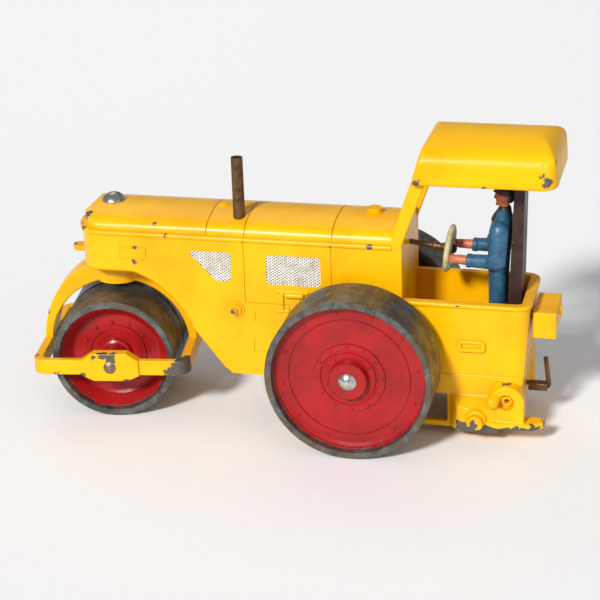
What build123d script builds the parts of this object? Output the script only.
"""Toy road roller, a painted die-cast model.

Millimetres, +Z up. The nose points to -X and the driver's left is -Y. The origin is on the
ground under the middle of the model's box. The front roller frame stands turned a few degrees
to the left about its kingpin, the pose in which it is kept.
"""
import os
from math import asin, cos, degrees, radians, sin, sqrt

from build123d import *

# ------------------------------------------------------------------ stations along X
REAR_X = 17.16                      # rear axle
KING_X = REAR_X - 56.3              # kingpin, and front axle below it
NOSE_X = REAR_X - 62.9              # nose wall on the centre line
SCREEN_X = REAR_X + 6.7             # front face of the windscreen frame
SCREEN_T = 2.1                      # its thickness along X
TAIL_X = REAR_X + 35.1              # outside of the rear wall at the sill
TAIL_LOW_X = REAR_X + 34.2          # outside of the rear wall at the seam

# ------------------------------------------------------------------ body casting
BODY_W = 9.85                       # half width of the body sides
WALL = 1.4                          # casting wall
NOSE_BOW_R = 15.0                   # nose is bowed in plan
NOSE_CORNER_R = 4.2
BONNET_CORNER_R = 6.0               # the bonnet is rounder in plan than the nose below it
NOSE_Z = 32.9                       # underside of the nose
ARCH_R = 20.6                       # clearance arch over the front frame, about the drum axle
ARCH_END = (REAR_X - 36.6, 20.9)    # where the arch runs out into the sloping edge
BELLY_X = REAR_X - 29.5             # foot of the sloping edge
BELLY_Z = 11.1                      # bottom of the body ahead of the rear axle
SEAM_X = REAR_X - 6.0               # step from the belly to the seam with the base
SEAM_Z = 14.6                       # seam between body and base castings
FLOOR_Z = 16.0                      # cockpit floor
SILL_Z = 30.4                       # top of the cockpit walls
BEAD_Z = 41.75                      # middle of the bead under the bonnet
BEAD_H = 1.0
BEAD_OUT = 0.45
BONNET_W = 9.05                     # half width of the bonnet above the bead
BONNET_TOP = 45.85
BONNET_CROWN_R = 22.0
BONNET_SHOULDER_R = 3.0
BONNET_DROOP = 3.4                  # height of the rounding towards the nose
SEAMS_X = (REAR_X - 33.0, REAR_X - 24.7, REAR_X - 5.9)
GROOVE = 0.22                       # width and depth of the engraved lines
GRILLE_DEPTH = 0.45
EDGE_R = 0.35                       # rounding of cast edges
LOW_EDGE_R = 0.9                    # rounding along the lower edge of the nose and arch
TAIL_CORNER_R = 2.8                 # corners of the cockpit in plan

# ------------------------------------------------------------------ base casting
BASE_LOW = 2.2                      # lowest edge of the base
BASE_FRONT_X = SEAM_X
BASE_OUT = 2.9                      # the fittings stand out this far from the sides
GUARD_X = REAR_X + 31.2             # round head of the curled guard
GUARD_Z = 10.1
GUARD_R = 3.55
EYE_R = 0.6                         # eye of the guard
STEP_LOW, STEP_TOP = 4.1, 5.5       # foot plate beside the guard
BASE_RIVETS_X = (REAR_X + 12.5, REAR_X + 22.5)
BASE_RIVET_R = 0.9
BASE_RIVET_HEAD_R = 1.6

# ------------------------------------------------------------------ rollers
REAR_R = 17.5
REAR_FACE = 24.1                    # outer face of the rear rollers from the centre plane
REAR_WIDTH = 11.2
REAR_AXLE_R = 1.5
REAR_HEAD_R = 1.95
DRUM_R = 13.4
DRUM_FACE = 12.7                    # outer face of the front half drums
DRUM_GAP = 0.5                      # gap between the two half drums
FRONT_AXLE_R = 1.2
RUN = 0.06                          # radial running clearance
SIDE_PLAY = 0.3                     # end play of rollers and frame

# ------------------------------------------------------------------ front frame
STEER_REST = 8.2                    # degrees the frame stands turned at rest
YOKE_L = 17.1                       # half length of the frame
YOKE_W = 16.5                       # half width of the frame
BAR_T = 1.7
BAR_LOW, BAR_HIGH = 11.45, 14.86
CROSS_T = 2.0                       # front and rear bars
LEG_IN_R = 15.3                     # inside of the arch, about the drum axle
LEG_OUT = (17.1, 19.9)              # outside of the arch: half axes along X and Z
LEG_T = 3.3                         # half thickness of the arch along Y
BOSS_R = 5.0
BOSS_LOW = 28.1
BOSS_HIGH = 32.2
KING_R = 1.3
KING_HEAD_R = 2.6
KING_SEAT_Z = BONNET_TOP - 0.35     # flat seat under the kingpin's head

# ------------------------------------------------------------------ cab
FRAME_BEND_Z = 43.6                 # the windscreen posts rake back above this
FRAME_RAKE = 0.345                  # run along X for each mm of rise
POST_T = 1.5                        # post thickness along Y
POST_TOP = 59.0                     # top of the posts, inside the roof
COLUMN_R = 0.55
ROOF_LOW, ROOF_TOP = 56.0, 65.0
ROOF_W = 12.0
ROOF_FRONT_X = REAR_X + 11.0
ROOF_REAR_X = REAR_X + 40.5
ROOF_RAKE = 0.27
ROOF_T = 1.4
ROOF_SHOULDER_R = 4.4               # rounding between the roof's top and sides
ROOF_CORNER_R = 3.6                 # rear corners in plan
ROOF_BROW_R = 3.2                   # front edge in profile
ROOF_BACK_R = 4.8                   # rear edge in profile
REAR_POST_X = REAR_X + 31.1
REAR_POST_W = 6.6                   # width across the body
WHEEL_CENTRE = (REAR_X + 17.2, 38.8)
WHEEL_R = 4.5
WHEEL_TILT = 7.0
WHEEL_RIM_R = 0.62
WHEEL_WEB = 0.5                     # thickness of the web inside the rim
WHEEL_HUB_R = 1.9
BOX_FRONT_X = REAR_X + 35.4         # tool box
BOX_REAR_X = REAR_X + 40.3
HOOK_Z = 9.2
HOOK_R = 0.5
HOOK_X = REAR_X + 38.6              # foot of the tow hook's upright
HOOK_TOP = 15.3
HOOK_LUG_W = 1.1                    # half width of the lug that stiffens its foot
HOOK_LEAN = 0.9                     # the upright leans this far forward over its height
BOX_PEG_Z = 24.8
BOX_PEG_R = 1.0
EXHAUST_X = REAR_X - 26.75
EXHAUST_Y = -5.0
EXHAUST_R = 1.25
EXHAUST_TOP = 58.3
EXHAUST_FOOT_Z = 43.2


def export(shape, name, colour):
    shape.label = name
    shape.color = Color(*colour)
    export_step(shape, os.path.join("parts", name + ".step"))


def box(x0, x1, y0, y1, z0, z1):
    """Box between two corners."""
    return Pos((x0 + x1) / 2, (y0 + y1) / 2, (z0 + z1) / 2) * Box(x1 - x0, y1 - y0, z1 - z0)


def rod_y(radius, x, z, y0, y1):
    """Cylinder along Y."""
    return Pos(x, (y0 + y1) / 2, z) * (Rot(90, 0, 0) * Cylinder(radius, y1 - y0))


def prism_y(points, y0, y1):
    """Extrude a closed (x, z) outline from y0 to y1."""
    face = Plane.XZ * make_face(Polyline(*points, close=True))
    return Pos(0, y0, 0) * extrude(face, -(y1 - y0))


def prism_z(points, z0, z1):
    """Extrude a closed (x, y) outline from z0 to z1."""
    return Pos(0, 0, z0) * extrude(make_face(Polyline(*points, close=True)), z1 - z0)


def turned_y(profile, x, z):
    """Revolve a closed (radius, y) outline about the Y axis through (x, z)."""
    face = make_face(Polyline(*profile, close=True))
    return Pos(x, 0, z) * revolve(face, Axis.Y)


def both_sides(shape):
    """The shape and its mirror image across the centre plane."""
    return [shape, mirror(shape, Plane.XZ)]


def yoke_place(shape):
    """Move a shape built about the kingpin, straight ahead, to its rest pose."""
    return Pos(KING_X, 0, 0) * (Rot(0, 0, STEER_REST) * shape)


# ------------------------------------------------------------------ body casting

def nose_plan(inset, end_x, corner=NOSE_CORNER_R):
    """Plan outline of the body: bowed nose, straight sides, square end at end_x."""
    half = BODY_W - inset
    front = NOSE_X + inset
    bow = NOSE_BOW_R - inset
    corner_x = front + bow - sqrt(bow ** 2 - half ** 2)
    side = Line((corner_x, -half), (end_x, -half))
    end = Line((end_x, -half), (end_x, half))
    back = Line((end_x, half), (corner_x, half))
    nose = ThreePointArc((corner_x, half), (front, 0), (corner_x, -half))
    face = make_face(Wire([side, end, back, nose]))
    corners = [v for v in face.vertices() if abs(v.X - corner_x) < 0.01]
    return fillet(corners, max(corner - inset, 0.6))


def tail_plan(inset, start_x):
    """Plan outline of the cockpit: square at start_x, round corners at the tail."""
    half = BODY_W - inset
    rear = TAIL_X - inset
    face = make_face(Polyline((start_x, -half), (rear, -half), (rear, half), (start_x, half), close=True))
    corners = [v for v in face.vertices() if abs(v.X - rear) < 0.01]
    return fillet(corners, TAIL_CORNER_R - inset)


def side_slab(inset, half):
    """Slab, 2 * half wide, with the side outline of the nose and engine bay below the bonnet."""
    low_angle = degrees(asin((ARCH_END[1] - DRUM_R) / ARCH_R))
    top_angle = degrees(asin((NOSE_Z - DRUM_R) / ARCH_R))
    arch_r = ARCH_R + inset
    low = (KING_X + arch_r * cos(radians(low_angle)), DRUM_R + arch_r * sin(radians(low_angle)))
    mid_angle = radians((low_angle + top_angle) / 2)
    mid = (KING_X + arch_r * cos(mid_angle), DRUM_R + arch_r * sin(mid_angle))
    top = (KING_X + arch_r * cos(radians(top_angle)), DRUM_R + arch_r * sin(radians(top_angle)))
    bottom = BELLY_Z - (1 if inset else 0)
    step_z = SEAM_Z + (WALL if inset else 0)
    rear = Polyline(top, (NOSE_X + inset, top[1]), (NOSE_X + inset, BEAD_Z), (SCREEN_X - inset, BEAD_Z),
                    (SCREEN_X - inset, step_z), (SEAM_X - inset, step_z), (SEAM_X - inset, bottom),
                    (BELLY_X + inset * 1.2, bottom), low)
    face = Plane.XZ * make_face(Wire([*rear.edges(), ThreePointArc(low, mid, top)]))
    return Pos(0, -half, 0) * extrude(face, -2 * half)


def bonnet(inset):
    """Crowned bonnet above the bead: a rounded section, cut to the nose plan and side profile."""
    half = BONNET_W - inset
    top = BONNET_TOP - inset
    crown_r = BONNET_CROWN_R - inset
    edge_z = top - crown_r + sqrt(crown_r ** 2 - half ** 2)
    low = BEAD_Z - 1
    section = Wire([Line((half, edge_z), (half, low)), Line((half, low), (-half, low)),
                    Line((-half, low), (-half, edge_z)),
                    ThreePointArc((-half, edge_z), (0, top), (half, edge_z))])
    face = make_face(section)
    shoulders = [v for v in face.vertices() if v.Y > low + 1]
    face = fillet(shoulders, BONNET_SHOULDER_R - inset)
    front = NOSE_X - 2
    solid = Pos(front, 0, 0) * extrude(Plane.YZ * face, SCREEN_X - inset - front)
    plan = nose_plan(BODY_W - BONNET_W + inset, SCREEN_X, BONNET_CORNER_R)
    solid &= Pos(0, 0, low) * extrude(plan, 8)
    nose = NOSE_X + BODY_W - BONNET_W + inset
    droop = BONNET_DROOP - inset
    reach = droop * 0.9
    arc = EllipticalCenterArc((nose + reach, top - droop), reach, droop, 90, arc_size=90)
    rest = Polyline((nose, top - droop), (nose, low - 1), (SCREEN_X + 1, low - 1), (SCREEN_X + 1, top),
                    (nose + reach, top))
    face = Plane.XZ * make_face(Wire([*rest.edges(), *arc.edges()]))
    return solid & Pos(0, -20, 0) * extrude(face, -40)


def grille_outlines():
    """The two grille openings of one side: a raked one and a square one."""
    x = REAR_X
    raked = [(x - 36.7, 38.0), (x - 36.1, 38.8), (x - 28.3, 38.8), (x - 27.6, 38.1), (x - 27.7, 33.0),
             (x - 28.4, 32.3), (x - 30.6, 32.1), (x - 31.4, 32.5)]
    square = [(x - 20.1, 38.1), (x - 19.5, 38.75), (x - 9.1, 38.75), (x - 8.4, 38.1), (x - 8.4, 32.8),
              (x - 9.1, 32.1), (x - 19.5, 32.1), (x - 20.1, 32.8)]
    return raked, square


def soft_box(x0, x1, y0, y1, z0, z1, radius):
    """Box between two corners with rounded edges."""
    block = box(x0, x1, y0, y1, z0, z1)
    return fillet(block.edges(), radius)


def body_relief():
    """Raised details of the left side wall; the right side mirrors them."""
    x = REAR_X
    side = -BODY_W
    relief = [
        box(x - 52.5, x - 46.4, side - 0.22, side + 0.2, 36.2, 38.9),       # blank plate
        rod_y(1.85, x - 27.0, 26.1, side - 0.25, side + 0.2),               # boss, outer ring
        rod_y(1.25, x - 27.0, 26.1, side - 0.6, side + 0.2),
        rod_y(0.7, x - 27.2, 25.9, side - 1.25, side + 0.2),                # stub
        soft_box(x - 18.1, x - 11.0, side - 0.35, side + 0.4, 30.3, 31.1, 0.2),    # latch strip
        soft_box(x - 16.2, x - 12.0, side - 0.95, side + 0.6, 29.55, 30.55, 0.42),  # latch bar
        soft_box(x - 17.2, x - 16.4, side - 0.45, side + 0.4, 26.6, 30.4, 0.2),    # latch stem
        soft_box(x - 18.1, x - 15.2, side - 0.35, side + 0.4, 26.0, 26.7, 0.2),    # latch foot
        soft_box(x - 15.8, x - 15.2, side - 0.3, side + 0.4, 26.0, 27.6, 0.15),
    ]
    plate_field = box(x - 52.2, x - 46.7, side - 1, side - 0.1, 36.5, 38.6)
    relief[0] -= plate_field
    handle = box(x + 20.4, x + 26.3, side - 0.8, side + 0.2, 19.9, 22.4)
    handle = fillet(handle.edges().filter_by(Axis.Y), 0.9)
    handle = fillet([e for e in handle.edges() if e.center().Y < side - 0.79], 0.3)
    pocket = box(x + 21.3, x + 25.4, side - 2, side - 0.25, 20.9, 21.9)
    relief.append(handle - pocket)
    return relief


def body_engraving():
    """Engraved lines and shallow panels of the left side wall."""
    x = REAR_X
    side = -BODY_W
    low = 27.9
    cuts = [
        box(SEAMS_X[1] - GROOVE, SEAMS_X[1], side - 1, side + GROOVE, low, BEAD_Z),
        box(SEAMS_X[2] - GROOVE, SEAMS_X[2], side - 1, side + GROOVE, 20, BEAD_Z),
        box(SEAMS_X[1] - GROOVE, SEAMS_X[2], side - 1, side + GROOVE, low - GROOVE, low),
        box(x - 22.9, x - 21.1, side - 1, side + 0.2, 23.5, 25.4),
        box(x - 23.4, x - 20.6, side - 1, side + 0.2, 16.6, 18.9),
    ]
    for outline in grille_outlines():
        cuts.append(prism_y(outline, side - 1, side + GRILLE_DEPTH))
    return cuts


def body_casting():
    shell = side_slab(0, BODY_W)
    shell &= Pos(0, 0, BELLY_Z - 1) * extrude(nose_plan(0, SCREEN_X), 40)
    lower = [e for e in shell.edges() if e.center().Z < NOSE_Z + 0.1 and e.center().X < BELLY_X + 1 and
             e.bounding_box().size.Y < 19]
    shell = fillet(lower, LOW_EDGE_R)
    tail = Pos(0, 0, SEAM_Z) * extrude(tail_plan(0, SCREEN_X), SILL_Z - SEAM_Z)
    lean = prism_y([(SCREEN_X, SEAM_Z), (TAIL_LOW_X, SEAM_Z), (TAIL_X, SILL_Z), (SCREEN_X, SILL_Z)],
                   -BODY_W, BODY_W)
    shell = shell + bonnet(0) + (tail & lean)

    # beads under the bonnet and along the sill
    bead = offset(nose_plan(0, SCREEN_X), BEAD_OUT, kind=Kind.TANGENT)
    bead = Pos(0, 0, BEAD_Z - BEAD_H / 2) * extrude(bead, BEAD_H)
    bead &= box(NOSE_X - 5, SCREEN_X, -20, 20, 30, 50)
    long_edges = [e for e in bead.edges() if abs(e.bounding_box().size.Z) < 0.01 and
                  e.bounding_box().max.X < SCREEN_X - 0.05 or e.bounding_box().size.X > 30]
    bead = fillet([e for e in long_edges if e.bounding_box().size.Z < 0.01], 0.42)
    sill = offset(tail_plan(0, SCREEN_X + SCREEN_T), BEAD_OUT, kind=Kind.TANGENT)
    sill = Pos(0, 0, SILL_Z - BEAD_H) * extrude(sill, BEAD_H)
    sill &= box(SCREEN_X + SCREEN_T, TAIL_X + 5, -20, 20, 20, 40)
    rims = [e for e in sill.edges() if e.bounding_box().size.Z < 0.01 and
            e.bounding_box().min.X > SCREEN_X + SCREEN_T - 0.01 and e.bounding_box().size.Y < 15]
    sill = fillet(rims, 0.42)
    shell = shell + bead + sill

    # the inside: engine bay open below, cockpit open above
    bay = side_slab(WALL, BODY_W - WALL)
    bay &= Pos(0, 0, BELLY_Z - 2) * extrude(nose_plan(WALL, SCREEN_X - WALL), 40)
    hood = bonnet(WALL) & box(NOSE_X, SCREEN_X - WALL, -(BONNET_W - 2.4), BONNET_W - 2.4, 41, BONNET_TOP - 2.2)
    column = Pos(KING_X, 0, NOSE_Z) * extrude(Circle(3.4), 14)
    shell = shell - (bay + hood - column)
    tub = Pos(0, 0, FLOOR_Z) * extrude(tail_plan(WALL, SCREEN_X - 0.01), 20)
    shell -= tub & prism_y([(SCREEN_X - 0.1, FLOOR_Z), (TAIL_LOW_X - WALL, FLOOR_Z), (TAIL_X - WALL, 36),
                            (SCREEN_X - 0.1, 36)], -BODY_W, BODY_W)
    # shoulders where the windscreen frame stands on the side walls
    shell -= box(SCREEN_X, SCREEN_X + SCREEN_T, -20, 20, SILL_Z - 1.4, SILL_Z + 1)

    # bonnet seams, cap, small dome and the lug on the nose
    for seam in SEAMS_X:
        ring = box(seam - GROOVE, seam, -BONNET_W - 1, BONNET_W + 1, BEAD_Z + BEAD_H / 2, BONNET_TOP + 2)
        shell -= ring - Pos(0, 0, -GROOVE) * bonnet(GROOVE)
    cap_x = REAR_X + 1.4
    shell += Pos(cap_x, 0, BONNET_TOP - 0.6) * Cylinder(2.1, 1.4)
    shell += Pos(cap_x, 0, BONNET_TOP + 0.4) * Cylinder(1.55, 1.6)
    shell += Pos(REAR_X - 31.5, 0, BONNET_TOP - 1.55) * Sphere(2.1)
    lug = box(NOSE_X - 3.4, NOSE_X + 1, -1.5, 1.5, 34.0, 35.2)
    shell += fillet([e for e in lug.edges().filter_by(Axis.Z) if e.center().X < NOSE_X - 3], 1.3)

    for piece in body_relief():
        for copy in both_sides(piece):
            shell += copy
    for cut in body_engraving():
        for copy in both_sides(cut):
            shell -= copy

    # holes for the kingpin, rear axle, exhaust, column of the steering wheel and tool box peg
    shell -= Pos(KING_X, 0, 40) * Cylinder(KING_R, 20)
    shell -= Pos(KING_X, 0, KING_SEAT_Z + 2) * Cylinder(KING_HEAD_R, 4)
    shell -= column_rod(COLUMN_R, 6)
    shell -= rod_y(REAR_AXLE_R, REAR_X, REAR_R, -12, 12)
    shell -= Pos(EXHAUST_X, EXHAUST_Y, 44) * Cylinder(EXHAUST_R, 8)
    shell -= Pos(TAIL_X - 1, 0, BOX_PEG_Z) * (Rot(0, 90, 0) * Cylinder(BOX_PEG_R, 8))
    for x in BASE_RIVETS_X:
        shell -= Pos(x, 0, SEAM_Z) * Cylinder(BASE_RIVET_R, 8)
    return shell


# ------------------------------------------------------------------ base casting parts

def base_side():
    """Fittings on the left side of the base: housing with a boss, curled guard with a peg, step."""
    x = REAR_X
    y = -BODY_W
    out = BASE_OUT
    housing = prism_z([(x + 18.4, y + 0.5), (x + 20.6, y - out + 0.6), (x + 24.4, y - out),
                       (x + 29.4, y - out + 0.2), (x + 29.4, y + 0.5)], BASE_LOW + 0.4, 9.8)
    slope = Plane.YZ * make_face(Polyline((y + 1, 9.9), (y, 9.9), (y - out - 1, 6.9), (y - out - 1, 12),
                                          (y + 1, 12), close=True))
    housing -= Pos(x + 10, 0, 0) * extrude(slope, 25)
    boss = rod_y(1.7, x + 24.8, 5.7, y - out - 2.4, y)
    boss += rod_y(2.15, x + 24.8, 5.9, y - out - 0.9, y)
    # curled guard: a round head on a web, with an eye in its recess
    guard = rod_y(GUARD_R, GUARD_X, GUARD_Z, y - out - 0.2, y + 0.5)
    guard += box(x + 28.9, GUARD_X + GUARD_R, y - out - 0.1, y + 0.5, 4.2, GUARD_Z)
    guard -= rod_y(1.75, GUARD_X - 0.3, GUARD_Z - 0.1, y - out - 1, y - out + 1.5)
    guard += rod_y(1.15, GUARD_X - 0.1, GUARD_Z - 0.1, y - out + 0.6, y)
    peg = limb(Vector(x + 29.4, y - 0.3, 12.4), Vector(x + 28.2, y - 3.5, 10.3), 1.35, 1.45)
    step = prism_z([(x + 26.0, y + 0.5), (x + 27.0, y - 3.3), (x + 29.5, y - 3.9), (x + 32.4, y - 3.7),
                    (x + 36.4, y - 3.3), (x + 38.6, y - 1.6), (x + 38.9, y + 0.2), (x + 38.0, y + 1.0),
                    (x + 34.2, y + 1.0)], STEP_LOW, STEP_TOP)
    return housing + boss + guard + peg + step


def base_casting():
    x = REAR_X
    outline = [(BASE_FRONT_X, SEAM_Z), (BASE_FRONT_X + 3, BASE_LOW), (x + 31.8, BASE_LOW), (x + 33.2, 4.0),
               (TAIL_LOW_X, SEAM_Z)]
    block = prism_y(outline, -BODY_W, BODY_W)
    block &= Pos(0, 0, BASE_LOW) * extrude(tail_plan(0, BASE_FRONT_X), SEAM_Z)
    cavity = [(BASE_FRONT_X + 1.8, SEAM_Z - 2), (BASE_FRONT_X + 4.6, BASE_LOW - 1), (x + 30.6, BASE_LOW - 1),
              (x + 31.6, 5.0), (TAIL_LOW_X - 1.8, SEAM_Z - 2)]
    left, right = both_sides(base_side())
    block += left
    block += right & box(x, TAIL_LOW_X, 0, 20, 0, 20)        # the right foot plate ends at the rear wall
    block -= prism_y(cavity, -(BODY_W - WALL), BODY_W - WALL)
    block -= box(x + 8.0, x + 18.2, -15, 15, 3.5, 9.8)                       # side windows
    block -= rod_y(EYE_R, GUARD_X - 0.1, GUARD_Z - 0.1, -20, 20)                    # eyes of the guards
    block -= Pos(TAIL_LOW_X - 1, 0, HOOK_Z) * (Rot(0, 90, 0) * Cylinder(HOOK_R, 8))
    for rivet_x in BASE_RIVETS_X:
        block -= Pos(rivet_x, 0, SEAM_Z) * Cylinder(BASE_RIVET_R, 8)
    return block


def base_rivets():
    """Two rivets that hold the base under the cockpit floor."""
    rivets = []
    for x in BASE_RIVETS_X:
        top = Pos(x, 0, FLOOR_Z + 0.35) * Cylinder(BASE_RIVET_HEAD_R, 0.7)
        low = Pos(x, 0, SEAM_Z - 2.35) * Cylinder(BASE_RIVET_HEAD_R, 0.7)
        shank = Pos(x, 0, (FLOOR_Z + SEAM_Z - 2) / 2) * Cylinder(BASE_RIVET_R, FLOOR_Z - SEAM_Z + 2.2)
        rivets.append(top + low + shank)
    return Compound(children=rivets)


# ------------------------------------------------------------------ cab

def windscreen_frame():
    """Bulkhead plate with two posts that rake back to the roof."""
    rear = SCREEN_X + SCREEN_T
    plate = box(SCREEN_X, rear, -(BODY_W - WALL), BODY_W - WALL, FLOOR_Z, SILL_Z)
    plate += box(SCREEN_X, rear, -BODY_W, BODY_W, SILL_Z - 1.4, FRAME_BEND_Z - 1.0)
    top = Plane.YZ * make_face(Polyline((-BODY_W, 40), (BODY_W, 40), (BODY_W, 43.4), (7.6, 45.0), (4, 45.7),
                                        (-4, 45.7), (-7.6, 45.0), (-BODY_W, 43.4), close=True))
    plate += Pos(SCREEN_X, 0, 0) * extrude(top, SCREEN_T)
    # above the roof's lower edge the posts step back behind the roof's front wall
    run = (ROOF_LOW - FRAME_BEND_Z) * FRAME_RAKE
    top_run = (POST_TOP - FRAME_BEND_Z) * FRAME_RAKE
    seat = ROOF_FRONT_X + ROOF_T
    seat_top = seat + (POST_TOP - ROOF_LOW) * ROOF_RAKE
    back = rear + 0.75
    post = prism_y([(SCREEN_X, 34), (SCREEN_X + 0.15, FRAME_BEND_Z + 0.9), (SCREEN_X + run - 0.2, ROOF_LOW),
                    (seat, ROOF_LOW), (seat_top, POST_TOP), (back + top_run, POST_TOP),
                    (rear + 0.05, FRAME_BEND_Z - 1.4), (rear, 34)], -BODY_W, -(BODY_W - POST_T))
    post = fillet([e for e in post.edges() if e.bounding_box().size.Y < 0.01 and
                   e.bounding_box().size.Z > 5 and e.center().Z < ROOF_LOW], EDGE_R)
    for copy in both_sides(post):
        plate += copy
    plate += prism_y([(seat_top - 2 * ROOF_RAKE, POST_TOP - 2), (seat_top, POST_TOP),
                      (back + top_run, POST_TOP), (back + top_run - 2 * FRAME_RAKE, POST_TOP - 2)],
                     -BODY_W, BODY_W)
    # bore for the steering column
    plate -= column_rod(COLUMN_R, 6)
    return plate


def column_axis(distance):
    """Point on the steering column, measured from the wheel's centre towards the nose."""
    tilt = radians(WHEEL_TILT)
    return (WHEEL_CENTRE[0] - distance * cos(tilt), WHEEL_CENTRE[1] + distance * sin(tilt))


def column_rod(radius, beyond):
    """Rod along the steering column's axis, from the wheel through the bulkhead."""
    length = (WHEEL_CENTRE[0] - SCREEN_X) + beyond
    middle = column_axis(length / 2)
    return Pos(middle[0], 0, middle[1]) * (Rot(0, 90 + WHEEL_TILT, 0) * Cylinder(radius, length))


def steering_column():
    length = WHEEL_CENTRE[0] - SCREEN_X
    middle = column_axis(length / 2)
    return Pos(middle[0], 0, middle[1]) * (Rot(0, 90 + WHEEL_TILT, 0) * Cylinder(COLUMN_R, length + 1.0))


def steering_wheel():
    """Dished wheel: a round rim, a thin web and a hub on the column's side."""
    wheel = Torus(WHEEL_R, WHEEL_RIM_R) + Cylinder(WHEEL_R, WHEEL_WEB) + Cylinder(WHEEL_HUB_R, 2 * WHEEL_RIM_R)
    wheel -= Cylinder(COLUMN_R, 6)
    return Pos(WHEEL_CENTRE[0], 0, WHEEL_CENTRE[1]) * (Rot(0, 90 + WHEEL_TILT, 0) * wheel)


def roof_block(inset):
    """Outer form of the roof, or its hollow when inset: section, side profile and plan combined."""
    half = ROOF_W - inset
    low = ROOF_LOW - inset
    top = ROOF_TOP - inset
    edge_z = top - 2.5
    section = Wire([Line((-half, low), (half, low)), Line((half, low), (half - 0.7, edge_z)),
                    ThreePointArc((half - 0.7, edge_z), (0, top), (0.7 - half, edge_z)),
                    Line((0.7 - half, edge_z), (-half, low))])
    face = make_face(section)
    face = fillet([v for v in face.vertices() if v.Y > ROOF_LOW + 1], ROOF_SHOULDER_R - inset)
    start = ROOF_FRONT_X - 3
    bar = Pos(start, 0, 0) * extrude(Plane.YZ * face, ROOF_REAR_X + 3 - start, dir=(1, 0, 0))
    foot = ROOF_FRONT_X + inset - (ROOF_LOW - low) * ROOF_RAKE
    rear = ROOF_REAR_X - inset
    side = make_face(Polyline((foot, low), (foot + (top - low) * ROOF_RAKE, top), (rear - 0.6, top),
                              (rear, low), close=True))
    high = [v for v in side.vertices() if v.Y > ROOF_LOW + 1]
    side = fillet([v for v in high if v.X < REAR_POST_X], ROOF_BROW_R - inset)
    side = fillet([v for v in side.vertices() if v.Y > ROOF_LOW + 1 and v.X > REAR_POST_X + 5],
                  ROOF_BACK_R - inset)
    bar &= Pos(0, -20, 0) * extrude(Plane.XZ * side, 40, dir=(0, 1, 0))
    plan = make_face(Polyline((ROOF_FRONT_X - 9, -half), (rear, -half), (rear, half), (ROOF_FRONT_X - 9, half),
                              close=True))
    plan = fillet([v for v in plan.vertices() if v.X > REAR_POST_X], ROOF_CORNER_R - inset)
    return bar & Pos(0, 0, low) * extrude(plan, 20, dir=(0, 0, 1))


def roof_canopy():
    outer = roof_block(0)
    low_sides = [e for e in outer.edges() if e.bounding_box().max.Z < ROOF_LOW + 0.01 and
                 e.bounding_box().size.Y < 0.01]
    outer = fillet(low_sides, EDGE_R)
    return outer - roof_block(ROOF_T)


def rear_post():
    """Upright behind the driver that carries the back of the roof."""
    low = Pos(REAR_POST_X, 0, FLOOR_Z) * Rectangle(3.0, REAR_POST_W)
    high = Pos(REAR_POST_X + 1.2, 0, ROOF_TOP - ROOF_T - 0.4) * Rectangle(1.9, REAR_POST_W)
    return loft([low, high])


def driver_figure():
    """Standing driver with both hands on the wheel; a peg holds the feet."""
    x = REAR_X + 27.6
    torso = loft([Pos(x, 0, FLOOR_Z) * Ellipse(1.8, 2.9), Pos(x, 0, 27) * Ellipse(2.1, 3.6),
                  Pos(x + 0.1, 0, 36) * Ellipse(2.2, 3.8), Pos(x + 0.4, 0, 44.5) * Ellipse(2.1, 4.4),
                  Pos(x + 0.7, 0, 47.6) * Ellipse(1.2, 1.9)])
    figure = torso + Pos(x + 0.6, 0, 51.0) * Sphere(2.3) + Pos(x + 0.7, 0, 48.4) * Cylinder(1.3, 3)
    for side in (-1, 1):
        shoulder = Vector(x + 0.6, side * 4.4, 44.4)
        elbow = Vector(x + 0.8, side * 5.5, 37.6)
        hand = Vector(WHEEL_CENTRE[0] + 1.3, side * 3.5, WHEEL_CENTRE[1] - 0.6)
        figure += limb(shoulder, elbow, 1.45, 1.25)
        figure += limb(elbow, hand, 1.25, 0.85)
    return figure


def limb(start, end, radius_a, radius_b):
    """Tapered limb with round ends."""
    span = end - start
    plane = Plane(origin=start, z_dir=span.normalized())
    cone = plane * (Pos(0, 0, span.length / 2) * Cone(radius_a, radius_b, span.length))
    return cone + Pos(*tuple(start)) * Sphere(radius_a) + Pos(*tuple(end)) * Sphere(radius_b)


# ------------------------------------------------------------------ small fittings

def exhaust_pipe():
    middle = (EXHAUST_TOP + EXHAUST_FOOT_Z) / 2
    pipe = Pos(EXHAUST_X, EXHAUST_Y, middle) * Cylinder(EXHAUST_R, EXHAUST_TOP - EXHAUST_FOOT_Z)
    return pipe - Pos(EXHAUST_X, EXHAUST_Y, EXHAUST_TOP) * Cylinder(EXHAUST_R - 0.3, 6)


def tool_box():
    """Box on a peg behind the rear wall, with the joint of its lid and a clasp."""
    front = BOX_FRONT_X
    rear = BOX_REAR_X
    block = box(front, rear, -5.8, 5.8, 22.0, 27.75)
    block = fillet(block.edges(), 0.25)
    joint = box(front - 1, rear + 1, -7, 7, 26.75, 26.95)
    joint -= box(front + 0.15, rear - 0.15, -5.65, 5.65, 26, 28)
    block -= joint
    block += box(rear - 0.1, rear + 0.6, -0.7, 0.7, 25.6, 27.2)
    peg = Rot(0, 90, 0) * Cylinder(BOX_PEG_R, front - TAIL_X + 2.5)
    block += Pos((TAIL_X - 1.5 + front) / 2 + 0.5, 0, BOX_PEG_Z) * peg
    return block


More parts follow.
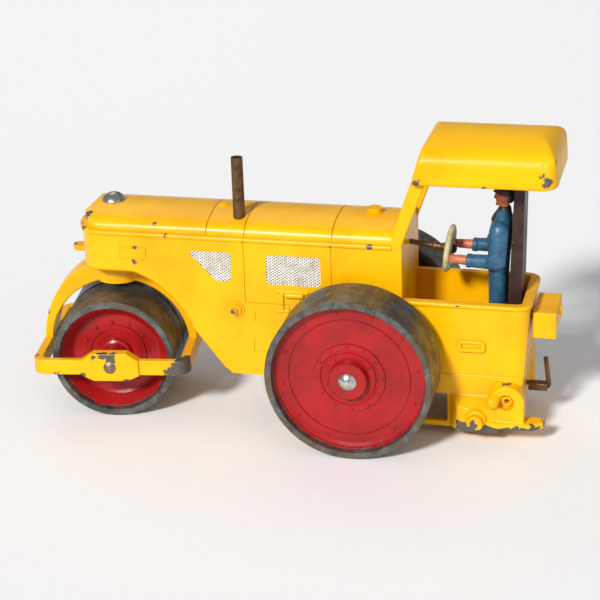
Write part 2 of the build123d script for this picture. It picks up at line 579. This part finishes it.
def tow_hook():
    """Bent wire on a flat lug: out of the base's rear wall, down a little, then up."""
    route = FilletPolyline((TAIL_LOW_X - 2.6, 0, HOOK_Z), (TAIL_LOW_X + 0.7, 0, HOOK_Z),
                           (HOOK_X, 0, HOOK_Z - 0.9), (HOOK_X - HOOK_LEAN, 0, HOOK_TOP), radius=0.7)
    start = Plane(origin=route @ 0, z_dir=route % 0)
    wire = sweep(start * Circle(HOOK_R), route)
    lug = box(TAIL_LOW_X + 0.05, HOOK_X - 0.4, -HOOK_LUG_W, HOOK_LUG_W, HOOK_Z - 1.35, HOOK_Z + 0.3)
    lug = fillet(lug.edges().filter_by(Axis.X), 0.3)
    return wire + lug


# ------------------------------------------------------------------ rollers and axles

def rear_roller(side):
    """Dished rear roller with flange ring and hub; side is -1 for the left."""
    face = REAR_FACE
    back = REAR_FACE - REAR_WIDTH
    bore = REAR_AXLE_R + RUN
    rim = REAR_R - 1.4
    disc = face - 2.4
    profile = [(bore, BODY_W + SIDE_PLAY), (3.6, BODY_W + SIDE_PLAY), (3.6, disc - 1.8), (rim, disc - 1.8),
               (rim, back), (REAR_R - 0.25, back), (REAR_R, back + 0.25), (REAR_R, face - 0.2),
               (REAR_R - 0.2, face), (rim + 0.1, face), (rim, face - 0.12), (rim - 0.15, disc + 0.9),
               (rim - 0.55, disc + 0.3), (rim - 1.3, disc), (12.95, disc), (12.95, disc - 0.25),
               (12.6, disc - 0.25), (12.6, disc), (7.6, disc), (7.45, disc + 0.35), (6.2, disc + 0.35),
               (6.0, disc + 0.1), (5.7, disc + 0.1), (5.5, disc + 0.45), (4.3, disc + 0.45),
               (4.15, disc + 0.7), (4.05, face - 0.25), (3.8, face), (bore + 0.35, face), (bore, face - 0.3)]
    return turned_y([(r, side * y) for r, y in profile], REAR_X, REAR_R)


def front_drum(side):
    """Dished half of the front roller."""
    face = DRUM_FACE
    bore = FRONT_AXLE_R + RUN
    rim = DRUM_R - 1.5
    disc = face - 4.0
    hub = YOKE_W - BAR_T - SIDE_PLAY
    profile = [(bore, DRUM_GAP / 2), (2.6, DRUM_GAP / 2), (2.6, disc - 1.6), (rim, disc - 1.6),
               (rim, DRUM_GAP / 2), (DRUM_R - 0.25, DRUM_GAP / 2), (DRUM_R, DRUM_GAP / 2 + 0.25),
               (DRUM_R, face - 0.25), (DRUM_R - 0.25, face), (rim + 0.15, face), (rim, face - 0.2),
               (rim - 0.3, face - 1.2), (rim - 2.3, disc + 0.3), (rim - 2.9, disc), (6.7, disc),
               (6.55, disc + 0.4), (5.7, disc + 0.4), (5.5, disc + 0.1), (3.6, disc + 0.15),
               (3.4, disc + 1.2), (2.9, disc + 1.5), (2.8, hub), (bore, hub)]
    return turned_y([(r, side * y) for r, y in profile], 0, DRUM_R)


def rear_axle():
    tip = REAR_FACE + 0.15
    axle = rod_y(REAR_AXLE_R, 0, 0, -tip, tip)
    for side in (-1, 1):
        dome = Pos(0, side * (tip + 0.9 - 2.6), 0) * Sphere(2.6)
        dome &= rod_y(REAR_HEAD_R, 0, 0, *sorted((side * tip, side * (tip + 2))))
        axle += dome
    return Pos(REAR_X, 0, REAR_R) * axle


def front_axle():
    tip = YOKE_W + 0.5
    axle = rod_y(FRONT_AXLE_R, 0, DRUM_R, -tip, tip)
    for side in (-1, 1):
        dome = Pos(0, side * (tip + 0.45 - 2.4), DRUM_R) * Sphere(2.4)
        dome &= rod_y(1.55, 0, DRUM_R, *sorted((side * tip, side * (tip + 2))))
        axle += dome
    return axle


def front_yoke():
    """Frame round the front roller: side bars with axle pads, crossbars, arch and boss."""
    ring = box(-YOKE_L, YOKE_L, -YOKE_W, YOKE_W, BAR_LOW, BAR_HIGH)
    ring = fillet(ring.edges().filter_by(Axis.Z), 2.6)
    hole = box(-(YOKE_L - CROSS_T), YOKE_L - CROSS_T, -(YOKE_W - BAR_T), YOKE_W - BAR_T, 5, 20)
    hole = fillet(hole.edges().filter_by(Axis.Z), 1.2)
    ring -= hole
    ring = fillet([e for e in ring.edges() if e.bounding_box().size.Z < 0.01], EDGE_R)
    pad = prism_y([(-6.3, BAR_LOW), (-3.7, 10.2), (3.7, 10.2), (6.3, BAR_LOW), (6.3, BAR_HIGH),
                   (3.7, 16.65), (-3.7, 16.65), (-6.3, BAR_HIGH)], -(YOKE_W + 0.5), -(YOKE_W - BAR_T))
    pad = fillet([e for e in pad.edges() if e.bounding_box().max.Y < -YOKE_W], EDGE_R)
    for copy in both_sides(pad):
        ring += copy
    # arch plate: an ellipse outside, a circle inside, standing on the crossbars
    outer = Pos(0, DRUM_R) * Ellipse(LEG_OUT[0], LEG_OUT[1])
    inner = Pos(0, DRUM_R) * Circle(LEG_IN_R)
    arch = Plane.XZ * (outer - inner)
    arch = Pos(0, LEG_T, 0) * extrude(arch, 2 * LEG_T)
    arch = fillet([e for e in arch.edges() if e.bounding_box().size.Y < 0.01], EDGE_R)
    arch &= box(-20, 20, -LEG_T, LEG_T, BAR_LOW + 0.5, BOSS_HIGH)
    ring += arch
    ring += Pos(0, 0, (BOSS_LOW + BOSS_HIGH) / 2) * Cylinder(BOSS_R, BOSS_HIGH - BOSS_LOW)
    ring -= Pos(0, 0, 30) * Cylinder(KING_R + RUN, 20)
    ring -= rod_y(DRUM_R + 1.2, 0, DRUM_R, -DRUM_FACE, DRUM_FACE)
    ring -= rod_y(FRONT_AXLE_R, 0, DRUM_R, -20, 20)
    return ring


def kingpin():
    """Domed rivet through the nose and the boss of the front frame."""
    head_z = KING_SEAT_Z
    dome = Pos(0, 0, head_z + 2.1 - 2.9) * Sphere(2.9)
    head = dome & Pos(0, 0, head_z + 2) * Cylinder(KING_HEAD_R, 4)
    low = BOSS_LOW - 0.15
    shank = Pos(0, 0, (head_z + 1 + low - 0.5) / 2) * Cylinder(KING_R, head_z + 1 - low + 0.5)
    foot = Pos(0, 0, low - 0.3) * Cylinder(2.0, 0.6)
    return Pos(KING_X, 0, 0) * (head + shank + foot)


def kingpin_washer():
    """Thin washer between the nose and the boss, fixed to the nose."""
    ring = Cylinder(3.2, 0.4) - Cylinder(KING_R, 1)
    return Pos(KING_X, 0, NOSE_Z - 0.2) * ring


YELLOW = (1.0, 0.78, 0.05)
RED = (0.70, 0.10, 0.12)
STEEL = (0.72, 0.72, 0.74)
BROWN = (0.33, 0.24, 0.18)
BLUE = (0.12, 0.38, 0.58)
CREAM = (0.80, 0.78, 0.58)


def main():
    os.makedirs("parts", exist_ok=True)
    export(body_casting(), "body_casting", YELLOW)
    export(base_casting(), "base_casting", YELLOW)
    export(base_rivets(), "base_rivets", STEEL)
    export(windscreen_frame(), "windscreen_frame", YELLOW)
    export(roof_canopy(), "roof_canopy", YELLOW)
    export(rear_post(), "rear_post", BROWN)
    export(driver_figure(), "driver_figure", BLUE)
    export(steering_column(), "steering_column", BROWN)
    export(steering_wheel(), "steering_wheel", CREAM)
    export(exhaust_pipe(), "exhaust_pipe", BROWN)
    export(tool_box(), "tool_box", YELLOW)
    export(tow_hook(), "tow_hook", BROWN)
    export(kingpin(), "kingpin", STEEL)
    export(kingpin_washer(), "kingpin_washer", STEEL)
    export(rear_axle(), "rear_axle", STEEL)
    export(rear_roller(-1), "rear_roller_left", RED)
    export(rear_roller(1), "rear_roller_right", RED)
    export(yoke_place(front_yoke()), "front_yoke", YELLOW)
    export(yoke_place(front_axle()), "front_axle", STEEL)
    export(yoke_place(front_drum(-1)), "front_drum_left", RED)
    export(yoke_place(front_drum(1)), "front_drum_right", RED)


main()
